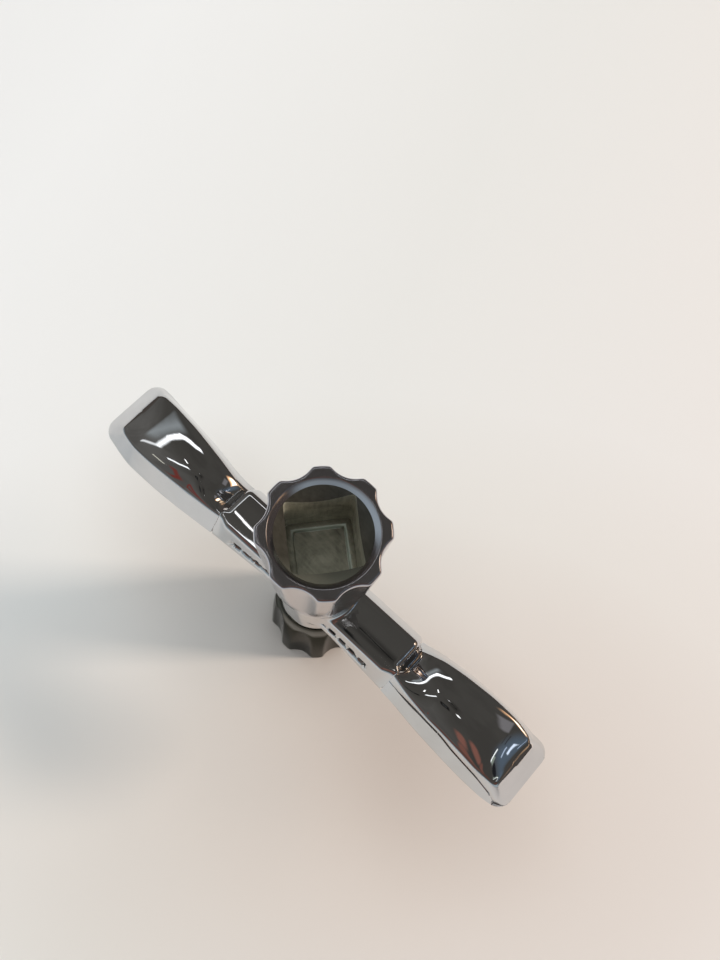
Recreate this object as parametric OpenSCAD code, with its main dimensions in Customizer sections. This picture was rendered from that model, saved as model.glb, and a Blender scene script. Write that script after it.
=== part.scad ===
// Double-ended cross-handle key: a cast bar with two paddle wings, crossed by
// an upright with a fluted square-socket nozzle at each end.
// Units are mm. The origin is the middle of the lower nozzle rim, +Z is up the
// nozzle axis and +X runs along the handle.

/* [Overall] */
// Height over both nozzle rims
total_h = 47.8; // [40:0.1:60]

/* [Nozzles] */
// Radius over the flute crests at the rim
rim_r = 5.9; // [5:0.05:7]
// Radius of the plain cone where the flutes start
base_r = 4.95; // [4.5:0.05:6]
// Radius of the plain neck between bar and flutes
neck_r = 4.4; // [3.8:0.05:5]
// Number of flutes around a nozzle
flutes = 8; // [6:1:12]
// Radius of the round cutter that makes one flute
flute_cut_r = 2.6; // [1.5:0.05:4]
// Valley radius at the rim
valley_rim_r = 5.25; // [4.8:0.05:6]
// Valley radius where the flutes start
valley_base_r = 4.72; // [4.4:0.05:5.5]
// Height above the bar's mid-plane where the flutes start
flute_z = 8.7; // [7:0.1:12]
// Turn of the flutes about the nozzle axis
flute_turn = 1; // [-22:0.5:22]

/* [Sockets] */
// Width across the flats of the square hole
square_w = 6.3; // [5:0.05:8]
// Depth from rim to the ledge at the bottom of the square
socket_depth = 8.5; // [6:0.1:12]
// Radius of the round mouth, just inside the rim chamfer
mouth_r = 4.3; // [4:0.05:5]
// Width of the bright chamfer around the mouth
mouth_chamfer = 0.35; // [0.1:0.05:0.8]
// Turn of the square about the nozzle axis
square_turn = 51; // [0:0.5:90]
// Width of the square recess in the floor plug
recess_w = 5.0; // [3:0.1:6]
// Depth of the square recess in the floor plug
recess_d = 0.6; // [0.2:0.1:1.5]
// Thickness of the floor plug
plug_t = 1.6; // [1:0.1:3]

/* [Bar block] */
// Half the length of the middle block
block_x = 12.75; // [10:0.05:16]
// Height of the block's top face above its mid-plane
block_h = 2.75; // [2:0.05:4]
// Half the width of the block at the parting line
block_w = 3.35; // [2.5:0.05:5]
// Half the width of the block's top face
block_top_w = 2.15; // [1.5:0.05:4]
// Extra width of the block on the front side
block_front = 0.35; // [0:0.05:0.6]
// Turn of the block about the nozzle axis, against the line of the wings
block_turn = 1.1; // [-2:0.1:2]
// Half the height of the hub boss
boss_h = 4.6; // [3.5:0.1:6]
// Radius of the fillet between the block's faces and the boss
boss_fillet = 0.6; // [0.3:0.05:1.5]

/* [Wings] */
// Distance from the nozzle axis to the tip of a wing
wing_x = 30.3; // [26:0.1:35]
// Extra width of a wing at its front edge
front_width = 0; // [-0.5:0.05:0.5]
// Width of the fine step along the seam on the front slope
seam_step = 0.12; // [0:0.01:0.3]

/* [Core] */
// Radius of the upright core shaft
core_r = 2.4; // [1.5:0.05:3]
// Radius of the rod that runs along the bar
rod_r = 1.1; // [0.8:0.05:1.5]
// Half the length of the rod along the bar
rod_x = 19; // [15:0.5:24]

/* [Marks] */
// Number of short dashes on each side of the hub
dashes = 5; // [0:1:5]
// Depth of a dash
dash_d = 0.18; // [0.05:0.01:0.4]

/* [Hidden] */
mid_z = total_h / 2;
floor_z = mid_z - socket_depth;
plug_z = floor_z - plug_t;
// distance of the block's front slope from the middle plane, at the dashes
dash_y = block_w + block_front - 0.13 * (block_w + block_front - block_top_w);
fine = 96;

// ---------------------------------------------------------------- helpers

// Half outline of the bar, upper half, from the back edge to the front edge.
// a, w: half widths at the parting edge and at the top face, back side,
// h: height of the top face's edge, c: extra height at its middle,
// n, v: half widths at the parting edge and at the top face, front side,
// k: height of the seam on the front slope as a share of h, s: its step
function slope_y(n, v, f) = -n + (n - v) * f / 0.97;
function upper_half(a, w, h, c, n, v, k, s) = [
    [a, 0], [a - 0.12 * (a - w), 0.25 * h], [a - 0.45 * (a - w), 0.6 * h],
    [w + 0.18 * (a - w), 0.88 * h], [w, 0.97 * h], [w * 0.8, h + 0.3 * c],
    [w * 0.45, h + 0.8 * c], [0, h + c], [-v * 0.45, h + 0.8 * c],
    [-v * 0.8, h + 0.3 * c], [-v, 0.97 * h],
    [slope_y(n, v, k) + s, k * h + 0.01], [slope_y(n, v, k), k * h],
    [slope_y(n, v, 0.66 * k), 0.66 * k * h],
    [slope_y(n, v, 0.33 * k), 0.33 * k * h], [-n, 0]];

// Lower half, from the front edge to the back edge
function lower_half(a, w, h, c, n, v) = [
    [-n - 0.03, -0.15 * h], [-n + 0.12 * (n - v), -0.40 * h],
    [-n + 0.45 * (n - v), -0.68 * h],
    [-v - 0.12 * (n - v), -0.9 * h], [-v * 0.9, -h - 0.1 * c],
    [-v * 0.45, -h - 0.8 * c], [0, -h - c], [w * 0.45, -h - 0.8 * c],
    [w * 0.8, -h - 0.3 * c], [w, -0.97 * h], [w + 0.18 * (a - w), -0.88 * h],
    [a - 0.45 * (a - w), -0.6 * h], [a - 0.12 * (a - w), -0.25 * h]];

function ring(a, w, h, c, n, v, k, s) = concat(upper_half(a, w, h, c, n, v, k, s),
                                               lower_half(a, w, h, c, n, v));

// Stations of a wing: [x, a, w, h, c, sideways offset of those,
//                      n, its offset, v, its offset, seam height share]
WING = [
    [block_x,       3.00, 1.95, 1.10, 0.15, 0.20, 3.90, 0.25, 2.20, 0.30, 0.62],
    [block_x + 0.7, 3.05, 2.05, 1.60, 0.25, 0.30, 3.98, 0.26, 2.34, 0.28, 0.64],
    [block_x + 1.7, 3.20, 2.20, 2.05, 0.40, 0.42, 4.09, 0.28, 2.54, 0.24, 0.66],
    [block_x + 3.2, 3.40, 2.50, 2.40, 0.52, 0.50, 4.28, 0.28, 2.72, 0.22, 0.70],
    [block_x + 5.2, 3.68, 2.80, 2.65, 0.60, 0.50, 4.50, 0.28, 2.94, 0.22, 0.78],
    [block_x + 7.2, 3.90, 3.02, 2.78, 0.60, 0.46, 4.66, 0.29, 3.08, 0.28, 0.78],
    [block_x + 9.7, 4.06, 3.24, 2.84, 0.56, 0.40, 4.79, 0.28, 3.24, 0.31, 0.70],
    [block_x + 12.2, 4.15, 3.30, 2.80, 0.46, 0.30, 4.86, 0.26, 3.33, 0.25, 0.68],
    [wing_x - 3.3,  4.15, 3.12, 2.66, 0.20, 0.12, 4.70, 0.14, 3.14, 0.12, 0.54],
    [wing_x - 2.6,  4.13, 2.95, 2.52, 0.08, 0.03, 4.60, 0.08, 3.00, 0.03, 0.46],
    [wing_x - 1.9,  4.08, 2.85, 1.95, 0.05, 0.00, 4.48, 0.04, 2.90, 0.00, 0.44],
    [wing_x - 1.1,  3.85, 2.72, 1.15, 0.03, 0.00, 4.22, 0.00, 2.78, 0.00, 0.40],
    [wing_x - 0.5,  3.40, 2.50, 0.60, 0.02, 0.00, 3.75, 0.00, 2.55, 0.00, 0.36],
    [wing_x,        2.50, 2.05, 0.20, 0.01, 0.00, 2.80, 0.00, 2.10, 0.00, 0.30]];

// Smooth curve through four neighbouring stations
function curve(p, q, r, s, t) =
    0.5 * ((2 * q) + (r - p) * t + (2 * p - 5 * q + 4 * r - s) * t * t
           + (3 * q - p - 3 * r + s) * t * t * t);
function pick(i) = WING[max(0, min(len(WING) - 1, i))];
STEPS = 2;
stations = [for (i = [0 : len(WING) - 2]) for (k = [0 : STEPS - 1])
                curve(pick(i - 1), pick(i), pick(i + 1), pick(i + 2), k / STEPS),
            pick(len(WING) - 1)];

// side = 1 for the wing on +X, -1 for the wing on -X
module wing_skin(side) {
    rings = [for (s = stations)
        [for (p = ring(s[1], s[2], s[3], s[4],
                       s[6] + front_width + side * (s[5] - s[7]), s[8] + side * (s[5] - s[9]),
                       s[10], seam_step * min(1, s[3] / 2)))
            [side * s[0], p[0] + side * s[5], p[1]]]];
    n = len(rings[0]);
    m = len(rings);
    pts = [for (r = rings) for (p = r) p];
    walls = [for (i = [0 : m - 2]) for (j = [0 : n - 1])
        let (a = i * n + j, b = i * n + (j + 1) % n,
             c = (i + 1) * n + (j + 1) % n, d = (i + 1) * n + j)
        each (side > 0 ? [[a, b, c], [a, c, d]] : [[c, b, a], [d, c, a]])];
    // caps as fans around one point of each end ring, kept triangular
    c0 = [side * block_x, side * WING[0][5], 0];
    c1 = [side * wing_x, 0, 0];
    i0 = n * m;
    i1 = n * m + 1;
    cap0 = [for (j = [0 : n - 1]) side > 0 ? [i0, (j + 1) % n, j] : [i0, j, (j + 1) % n]];
    cap1 = [for (j = [0 : n - 1]) side > 0
        ? [i1, (m - 1) * n + j, (m - 1) * n + (j + 1) % n]
        : [i1, (m - 1) * n + (j + 1) % n, (m - 1) * n + j]];
    polyhedron(points = concat(pts, [c0, c1]), faces = concat(walls, cap0, cap1),
               convexity = 4);
}

module wing(side) {
    translate([0, 0, mid_z])
        difference() {
            wing_skin(side);
            // blind bore for the rod
            translate([side * (block_x - 1), 0, 0])
                rotate([0, side * 90, 0])
                    cylinder(r = rod_r, h = rod_x - block_x + 1, $fn = fine);
        }
}

// Plain revolved outside of a nozzle, from the boss to the rim
module nozzle_turning() {
    rotate_extrude($fn = fine)
        polygon([[0, boss_h], [neck_r, boss_h], [neck_r - 0.08, boss_h + 0.8],
                 [neck_r - 0.05, flute_z - 2.2], [neck_r + 0.12, flute_z - 1.3],
                 [base_r - 0.12, flute_z - 0.45], [base_r, flute_z + 0.1],
                 [rim_r, mid_z - 0.5], [rim_r - 0.06, mid_z - 0.25],
                 [rim_r - 0.18, mid_z - 0.08], [rim_r - 0.36, mid_z], [0, mid_z]]);
}

// One leaning round cutter, its axis further out at the rim
module flute_cutter() {
    run = mid_z - flute_z;
    lean = atan((valley_rim_r - valley_base_r) / run);
    translate([valley_base_r + flute_cut_r, 0, flute_z])
        rotate([0, lean, 0])
            translate([0, 0, -1])
                cylinder(r = flute_cut_r, h = run + 3, $fn = fine);
}

// Nozzle with its end on +Z, measured from the bar's mid-plane
module nozzle() {
    difference() {
        nozzle_turning();
        for (k = [0 : flutes - 1])
            rotate([0, 0, flute_turn + 360 / flutes * (k + 0.5)]) flute_cutter();
        // square hole down to the core shaft's bore
        rotate([0, 0, square_turn])
            translate([-square_w / 2, -square_w / 2, plug_z])
                cube([square_w, square_w, mid_z - plug_z + 1]);
        // bore for the core shaft
        translate([0, 0, boss_h - 1])
            cylinder(r = core_r, h = plug_z - boss_h + 2, $fn = fine);
        // lead-in cone and the bright chamfer around it
        translate([0, 0, mid_z - mouth_chamfer - (mouth_r - 2.4)])
            cylinder(r1 = 2.4, r2 = mouth_r, h = mouth_r - 2.4, $fn = fine);
        translate([0, 0, mid_z - mouth_chamfer])
            cylinder(r1 = mouth_r, r2 = mouth_r + 2 * mouth_chamfer,
                     h = 2 * mouth_chamfer, $fn = fine);
    }
}

// Square plug with a square recess in its outer face
module floor_plug() {
    rotate([0, 0, square_turn])
        difference() {
            translate([-square_w / 2, -square_w / 2, plug_z])
                cube([square_w, square_w, plug_t]);
            translate([-recess_w / 2, -recess_w / 2, floor_z - recess_d])
                cube([recess_w, recess_w, recess_d + 1]);
        }
}

// Block's long outline, cut to length with rounded ends
module block_body() {
    intersection() {
        rotate([0, 0, block_turn])
            translate([-block_x - 1, 0, 0])
                rotate([90, 0, 90])
                    linear_extrude(2 * block_x + 2)
                        polygon(ring(block_w, block_top_w, block_h, 0.12,
                                     block_w + block_front, block_top_w, 0.8, 0.03));
        // rounded corners seen from above, square at the front edge
        translate([0, -0.6, -10])
            linear_extrude(20) rounded_rect(2 * block_x, 9.6, 1.7);
        // rounded corners seen from the side
        translate([0, 10, 0])
            rotate([90, 0, 0])
                linear_extrude(20) rounded_rect(2 * block_x, 2 * block_h + 0.24, 0.9);
    }
}

module rounded_rect(l, w, r) {
    square([l - 2 * r, w], center = true);
    square([l, w - 2 * r], center = true);
    for (x = [-1, 1]) for (y = [-1, 1])
        translate([x * (l / 2 - r), y * (w / 2 - r)]) circle(r = r, $fn = 48);
}

// ------------------------------------------------------------------ nodes

module hub_block() {
    color([0.80, 0.80, 0.80])
    translate([0, 0, mid_z])
        difference() {
            union() {
                block_body();
                // round boss that carries both nozzles
                translate([0, 0, -boss_h]) cylinder(r = neck_r, h = 2 * boss_h, $fn = fine);
                // sweep from the block's top and bottom faces up to the boss
                for (s = [0, 1]) mirror([0, 0, s])
                    intersection() {
                        rotate_extrude($fn = fine)
                            difference() {
                                translate([neck_r - 0.5, block_h - 0.6])
                                    square([0.5 + boss_fillet, 0.6 + boss_fillet]);
                                translate([neck_r + boss_fillet, block_h + boss_fillet])
                                    circle(r = boss_fillet, $fn = 64);
                            }
                        translate([-8, -block_top_w, 0]) cube([16, 2 * block_top_w, boss_h]);
                    }
            }
            // upright bore for the core shaft
            translate([0, 0, -boss_h - 1]) cylinder(r = core_r, h = 2 * boss_h + 2, $fn = fine);
            // bore for the rod along the bar
            translate([-block_x - 1, 0, 0])
                rotate([0, 90, 0]) cylinder(r = rod_r, h = 2 * block_x + 2, $fn = fine);
            // two rows of plain dashes on the front side
            for (s = [-1, 1]) for (k = [0 : 1 : dashes - 1])
                rotate([0, 0, block_turn])
                    translate([s * (3.3 + 1.48 * k) - 0.52, -dash_y - 1, -0.01])
                        cube([1.04, 1 + dash_d, 0.72]);
        }
}

module left_wing() { color([0.80, 0.80, 0.80]) wing(-1); }

module right_wing() { color([0.80, 0.80, 0.80]) wing(1); }

module cross_rod() {
    color([0.55, 0.56, 0.58])
    translate([-rod_x, 0, mid_z])
        rotate([0, 90, 0]) cylinder(r = rod_r, h = 2 * rod_x, $fn = fine);
}

module core_shaft() {
    color([0.50, 0.50, 0.50])
    difference() {
        translate([0, 0, mid_z - plug_z]) cylinder(r = core_r, h = 2 * plug_z, $fn = fine);
        translate([-core_r - 1, 0, mid_z])
            rotate([0, 90, 0]) cylinder(r = rod_r, h = 2 * core_r + 2, $fn = fine);
    }
}

module upper_socket() { color([0.78, 0.78, 0.80]) translate([0, 0, mid_z]) nozzle(); }

module lower_socket() {
    color([0.78, 0.78, 0.80])
    translate([0, 0, mid_z]) mirror([0, 0, 1]) nozzle();
}

module upper_floor_plug() {
    color([0.36, 0.35, 0.27]) translate([0, 0, mid_z]) floor_plug();
}

module lower_floor_plug() {
    color([0.36, 0.35, 0.27])
    translate([0, 0, mid_z]) mirror([0, 0, 1]) floor_plug();
}

hub_block();
left_wing();
right_wing();
cross_rod();
core_shaft();
upper_socket();
lower_socket();
upper_floor_plug();
lower_floor_plug();
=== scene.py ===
import math

import bmesh
import bpy
import numpy as np
from mathutils import Matrix, Vector


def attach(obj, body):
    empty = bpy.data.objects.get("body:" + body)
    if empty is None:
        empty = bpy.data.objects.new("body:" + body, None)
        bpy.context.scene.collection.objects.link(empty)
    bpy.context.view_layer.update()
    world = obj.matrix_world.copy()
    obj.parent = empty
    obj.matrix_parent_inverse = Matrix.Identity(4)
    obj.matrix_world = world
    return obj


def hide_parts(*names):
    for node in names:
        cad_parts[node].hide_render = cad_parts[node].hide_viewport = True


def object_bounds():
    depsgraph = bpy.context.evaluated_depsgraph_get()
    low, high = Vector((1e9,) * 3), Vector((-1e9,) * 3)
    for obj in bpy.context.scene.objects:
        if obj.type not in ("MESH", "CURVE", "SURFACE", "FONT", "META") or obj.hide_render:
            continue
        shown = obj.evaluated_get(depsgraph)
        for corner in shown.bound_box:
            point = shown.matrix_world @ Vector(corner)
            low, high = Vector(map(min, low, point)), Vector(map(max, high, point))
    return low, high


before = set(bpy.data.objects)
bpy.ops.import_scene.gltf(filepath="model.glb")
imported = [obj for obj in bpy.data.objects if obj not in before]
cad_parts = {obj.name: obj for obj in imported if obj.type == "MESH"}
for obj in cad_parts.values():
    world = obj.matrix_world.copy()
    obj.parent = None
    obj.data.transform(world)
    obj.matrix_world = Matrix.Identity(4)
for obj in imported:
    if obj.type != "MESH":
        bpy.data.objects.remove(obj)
cad_lo, cad_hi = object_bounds()

MM = 0.001
MID = (cad_lo.z + cad_hi.z) / 2 / MM        # height of the bar's mid-plane, mm
HALF = (cad_hi.z - cad_lo.z) / 2 / MM       # mid-plane to rim, mm

# ---------------------------------------------------------------- camera
# The view of the key from above, a little off its axis.
cam_data = bpy.data.cameras.new("camera")
cam_data.sensor_fit = "AUTO"
cam_data.sensor_width = 36.0
cam_data.lens = 31.1
cam_data.clip_start = 0.005
cam_data.clip_end = 20.0
cam = bpy.data.objects.new("camera", cam_data)
bpy.context.scene.collection.objects.link(cam)
right = Vector((0.72880, 0.68141, 0.06734))
down = Vector((0.66645, -0.68334, -0.29814))
ahead = Vector((-0.15714, 0.26216, -0.95214))
rot = Matrix((right, -down, -ahead)).transposed().to_4x4()
cam.matrix_world = Matrix.Translation((0.010142, -0.013122, 0.091187 + MID * MM)) @ rot
bpy.context.scene.camera = cam
bpy.context.scene.view_settings.view_transform = "Standard"


# ---------------------------------------------------------------- helpers
def new_object(name, verts_mm, faces, mats, face_mat=None, sharp=None):
    """A mesh object from points in mm, already in the row frame."""
    me = bpy.data.meshes.new(name)
    me.from_pydata((np.asarray(verts_mm, float) * MM).tolist(), [], faces)
    for m in mats:
        me.materials.append(m)
    if face_mat is not None:
        me.polygons.foreach_set("material_index", np.asarray(face_mat, np.int32))
    me.polygons.foreach_set("use_smooth", np.ones(len(me.polygons), bool))
    me.update()
    ob = bpy.data.objects.new(name, me)
    bpy.context.scene.collection.objects.link(ob)
    bm = bmesh.new()
    bm.from_mesh(me)
    bmesh.ops.remove_doubles(bm, verts=bm.verts, dist=2e-7)
    bmesh.ops.dissolve_degenerate(bm, edges=bm.edges, dist=1e-8)
    bmesh.ops.recalc_face_normals(bm, faces=bm.faces)
    bm.to_mesh(me)
    bm.free()
    if sharp is not None:
        me.set_sharp_from_angle(angle=math.radians(sharp))
    return ob


def grid_faces(nv, nu, close_u, close_v):
    """Quads of a grid whose point (i, j) has the number i * nu + j."""
    i = np.arange(nv if close_v else nv - 1)
    j = np.arange(nu if close_u else nu - 1)
    i, j = np.meshgrid(i, j, indexing="ij")
    i, j = i.ravel(), j.ravel()
    i2, j2 = (i + 1) % nv, (j + 1) % nu
    return np.stack([i * nu + j, i * nu + j2, i2 * nu + j2, i2 * nu + j], 1)


def smin(a, b, k):
    h = np.clip(0.5 + 0.5 * (b - a) / k, 0, 1)
    return b * (1 - h) + a * h - k * h * (1 - h)


def smax(a, b, k):
    return -smin(-a, -b, k)


def pchip(xk, yk, x):
    """Monotone cubic through knots, so a curve never overshoots."""
    xk, yk, x = (np.asarray(v, float) for v in (xk, yk, x))
    h = np.diff(xk)
    d = np.diff(yk) / h
    m = np.zeros_like(yk)
    for i in range(1, len(xk) - 1):
        if d[i - 1] * d[i] > 0:
            w1, w2 = 2 * h[i] + h[i - 1], h[i] + 2 * h[i - 1]
            m[i] = (w1 + w2) / (w1 / d[i - 1] + w2 / d[i])
    m[0], m[-1] = d[0], d[-1]
    k = np.clip(np.searchsorted(xk, x) - 1, 0, len(xk) - 2)
    t = (x - xk[k]) / h[k]
    return ((2 * t**3 - 3 * t**2 + 1) * yk[k] + (t**3 - 2 * t**2 + t) * h[k] * m[k]
            + (-2 * t**3 + 3 * t**2) * yk[k + 1] + (t**3 - t**2) * h[k] * m[k + 1])


def blur(a, axis, sigma):
    """Gaussian blur along one axis of a grid that leaves its ends in place."""
    n = int(math.ceil(3 * sigma))
    if n < 1:
        return a
    a = np.moveaxis(a, axis, 0)
    n = min(n, len(a) - 1)
    w = np.exp(-0.5 * (np.arange(-n, n + 1) / sigma) ** 2)
    w /= w.sum()
    pad = np.concatenate([2 * a[:1] - a[n:0:-1], a, 2 * a[-1:] - a[-2:-n - 2:-1]])
    out = sum(w[k] * pad[k:k + len(a)] for k in range(2 * n + 1))
    out[0], out[-1] = a[0], a[-1]
    return np.moveaxis(out, 0, axis)


SQUARE_TURN = math.radians(51.0)
# direction of the side where the painted rim highlight is strongest
HIGHLIGHT_U, HIGHLIGHT_V = 1.0, 0.9

# ---------------------------------------------------------------- materials
class Nodes:
    """Short way to wire a node material."""

    def __init__(self, name):
        self.mat = bpy.data.materials.new(name)
        self.mat.use_nodes = True
        self.t = self.mat.node_tree
        self.t.nodes.clear()
        self.out = self.add("ShaderNodeOutputMaterial")
        self.p = self.add("ShaderNodeBsdfPrincipled")
        self.t.links.new(self.p.outputs[0], self.out.inputs[0])

    def add(self, kind, **values):
        n = self.t.nodes.new(kind)
        for k, v in values.items():
            setattr(n, k, v)
        return n

    def link(self, a, b):
        self.t.links.new(a, b)

    def coords(self, scale=(1, 1, 1), rot=(0, 0, 0)):
        tc = self.add("ShaderNodeTexCoord")
        mp = self.add("ShaderNodeMapping")
        mp.inputs["Scale"].default_value = scale
        mp.inputs["Rotation"].default_value = rot
        self.link(tc.outputs["Object"], mp.inputs["Vector"])
        return mp.outputs["Vector"]

    def noise(self, vec, scale, detail=3.0, rough=0.5, distort=0.0):
        n = self.add("ShaderNodeTexNoise")
        n.inputs["Scale"].default_value = scale
        n.inputs["Detail"].default_value = detail
        n.inputs["Roughness"].default_value = rough
        n.inputs["Distortion"].default_value = distort
        self.link(vec, n.inputs["Vector"])
        return n.outputs["Fac"]

    def ramp(self, fac, stops):
        r = self.add("ShaderNodeValToRGB")
        e = r.color_ramp.elements
        while len(e) < len(stops):
            e.new(0.5)
        for k, (pos, col) in enumerate(stops):
            e[k].position = pos
            e[k].color = (*col, 1) if len(col) == 3 else col
        self.link(fac, r.inputs["Fac"])
        return r.outputs["Color"]

    def product(self, a, b):
        m = self.add("ShaderNodeMix", data_type="RGBA", blend_type="MULTIPLY")
        m.inputs[0].default_value = 1.0
        self.link(a, m.inputs[6])
        self.link(b, m.inputs[7])
        return m.outputs[2]

    def span(self, fac, lo, hi, a=0.0, b=1.0):
        m = self.add("ShaderNodeMapRange")
        m.inputs["From Min"].default_value = lo
        m.inputs["From Max"].default_value = hi
        m.inputs["To Min"].default_value = a
        m.inputs["To Max"].default_value = b
        self.link(fac, m.inputs["Value"])
        return m.outputs["Result"]

    def math(self, op, a, b):
        m = self.add("ShaderNodeMath", operation=op)
        for k, v in enumerate((a, b)):
            if isinstance(v, (int, float)):
                m.inputs[k].default_value = v
            else:
                self.link(v, m.inputs[k])
        return m.outputs[0]

    def bump(self, height, strength, distance, normal=None):
        b = self.add("ShaderNodeBump")
        b.inputs["Strength"].default_value = strength
        b.inputs["Distance"].default_value = distance
        self.link(height, b.inputs["Height"])
        if normal is not None:
            self.link(normal, b.inputs["Normal"])
        return b.outputs["Normal"]


def chrome(name, tint, rough_lo, rough_hi, wave):
    """Bright plating: clean mirror with a faint ripple, smudges and fine scratches."""
    n = Nodes(name)
    n.p.inputs["Metallic"].default_value = 1.0
    v = n.coords()
    smudge = n.noise(v, 260.0, 4.0, 0.6, 0.4)
    col = n.ramp(smudge, [(0.30, tuple(c * 0.93 for c in tint)), (0.62, tint)])
    n.link(col, n.p.inputs["Base Color"])
    scratch_v = n.coords(scale=(1.0, 9.0, 9.0), rot=(0.2, 0.3, 0.6))
    scratch = n.noise(scratch_v, 900.0, 2.0, 0.7, 0.0)
    lines = n.span(scratch, 0.70, 0.76)
    patch = n.span(smudge, 0.45, 0.80)
    rough = n.math("ADD", n.span(smudge, 0.40, 0.75, rough_lo, rough_hi),
                   n.math("MULTIPLY", n.math("MULTIPLY", lines, patch), 0.10))
    n.link(rough, n.p.inputs["Roughness"])
    ripple = n.noise(v, 420.0, 2.0, 0.45, 0.0)
    fine = n.noise(v, 5200.0, 2.0, 0.5, 0.0)
    nrm = n.bump(ripple, wave, 0.00004)
    nrm = n.bump(fine, 0.05, 0.000004, nrm)
    n.link(nrm, n.p.inputs["Normal"])
    return n.mat


def tarnished(name, dark, light, along_z=True, rough=0.42, metal=0.55, edge=False, front=None):
    """Raw dull metal with tool marks and an olive-brown film, with an optional painted highlight on the recess rim and
    painted light on the front of the mouth.
    """
    n = Nodes(name)
    n.p.inputs["Metallic"].default_value = metal
    v = n.coords()
    film = n.noise(v, 330.0, 5.0, 0.65, 0.6)
    blot = n.noise(v, 1500.0, 3.0, 0.6, 0.2)
    if along_z:
        marks_v = n.coords(scale=(1.0, 1.0, 0.10), rot=(0.0, 0.12, 0.0))
    else:
        marks_v = n.coords(scale=(0.16, 1.0, 1.0), rot=(0.0, 0.0, 1.1))
    marks = n.noise(marks_v, 3600.0, 3.0, 0.7, 0.1)
    mix = n.math("ADD", n.math("MULTIPLY", film, 0.62),
                 n.math("ADD", n.math("MULTIPLY", marks, 0.26), n.math("MULTIPLY", blot, 0.12)))
    mid = tuple((a + b) / 2 for a, b in zip(dark, light))
    col = n.ramp(mix, [(0.36, dark), (0.50, mid), (0.64, light)])
    if edge:
        # painted highlight: the rim of the square recess is coloured brighter, most of all on the two sides where the
        # light catches it
        sep = n.add("ShaderNodeSeparateXYZ")
        n.link(n.coords(rot=(0, 0, -SQUARE_TURN)), sep.inputs[0])
        au, av = n.math("ABSOLUTE", sep.outputs[0], 0), n.math("ABSOLUTE", sep.outputs[1], 0)
        box = n.math("ADD", n.math("MAXIMUM", au, av), n.math("MULTIPLY", blot, 0.00010))
        line = n.math("SUBTRACT", 1.0, n.span(n.math("ABSOLUTE", n.math("SUBTRACT", box, 0.00256), 0),
                                              0.00005, 0.00016))
        lit_side = n.span(n.math("ADD", n.math("MULTIPLY", sep.outputs[0], HIGHLIGHT_U),
                             n.math("MULTIPLY", sep.outputs[1], HIGHLIGHT_V)), -0.0016, 0.0020, 0.05, 1.0)
        rim_highlight = n.add("ShaderNodeMix", data_type="RGBA")
        n.link(n.math("MULTIPLY", line, lit_side), rim_highlight.inputs[0])
        n.link(col, rim_highlight.inputs[6])
        rim_highlight.inputs[7].default_value = (0.50, 0.54, 0.46, 1)
        col = rim_highlight.outputs[2]
    if front:
        # painted light: a lighter olive colour on the front side of the mouth, where the cone looks brighter
        sep = n.add("ShaderNodeSeparateXYZ")
        n.link(n.coords(), sep.inputs[0])
        where = n.math("ADD", n.math("ADD", n.math("MULTIPLY", sep.outputs[0], -0.6829),
                                     n.math("MULTIPLY", sep.outputs[1], 0.7305)),
                       n.math("MULTIPLY", film, 0.0012))
        front_light = n.add("ShaderNodeMix", data_type="RGBA")
        n.link(n.span(where, -0.0012, -0.0034), front_light.inputs[0])
        n.link(col, front_light.inputs[6])
        front_light.inputs[7].default_value = (*front, 1)
        col = front_light.outputs[2]
    n.link(col, n.p.inputs["Base Color"])
    n.link(n.span(mix, 0.35, 0.65, rough + 0.12, rough - 0.10), n.p.inputs["Roughness"])
    nrm = n.bump(marks, 0.30, 0.00003)
    nrm = n.bump(blot, 0.20, 0.00002, nrm)
    n.link(nrm, n.p.inputs["Normal"])
    return n.mat


def brushed(name):
    """Turned steel of the inner shafts."""
    n = Nodes(name)
    n.p.inputs["Metallic"].default_value = 1.0
    v = n.coords(scale=(1.0, 1.0, 14.0))
    lines = n.noise(v, 1500.0, 3.0, 0.7, 0.0)
    n.link(n.ramp(lines, [(0.3, (0.34, 0.34, 0.35)), (0.7, (0.56, 0.56, 0.57))]),
           n.p.inputs["Base Color"])
    n.link(n.span(lines, 0.3, 0.7, 0.42, 0.26), n.p.inputs["Roughness"])
    n.link(n.bump(lines, 0.25, 0.00002), n.p.inputs["Normal"])
    return n.mat


M_BAR = chrome("chrome_bar", (0.64, 0.64, 0.645), 0.015, 0.050, 0.08)
M_NOZZLE = chrome("chrome_nozzle", (0.56, 0.545, 0.575), 0.110, 0.160, 0.12)
# painted shade: the lower nozzle gets a darker copy of the nozzle chrome
M_NOZZLE_SHADED = chrome("chrome_nozzle_painted_shade", (0.275, 0.278, 0.268), 0.050, 0.110, 0.16)
M_NOZZLE_SHADED.node_tree.nodes["Principled BSDF"].inputs["Specular Tint"].default_value = (0.20, 0.20, 0.19, 1)
# painted reflection: the lead-in cone is coloured near black, standing in for the dark interior it mirrors
M_CONE = tarnished("dark_cone", (0.028, 0.025, 0.019), (0.066, 0.060, 0.048), False, 0.40, 0.25,
                   front=(0.130, 0.125, 0.098))
# painted light: the bore walls' olive tarnish is coloured much lighter than the plug's, standing in for light on the
# walls of the mouth
M_BORE_LIT = tarnished("bore_tarnish_and_painted_light", (0.245, 0.236, 0.188), (0.585, 0.568, 0.465), True, 0.50, 0.10)
# the plug's recess rim carries a painted highlight (edge=True)
M_PLUG = tarnished("tarnished_plug", (0.104, 0.092, 0.064), (0.250, 0.226, 0.166), False, 0.42, 0.30, edge=True)
M_STEEL = brushed("turned_steel")
# the floors of the dash pockets are coloured near black
M_DASH = tarnished("dash_floor", (0.012, 0.012, 0.012), (0.035, 0.034, 0.033), False, 0.6, 0.1)

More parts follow.
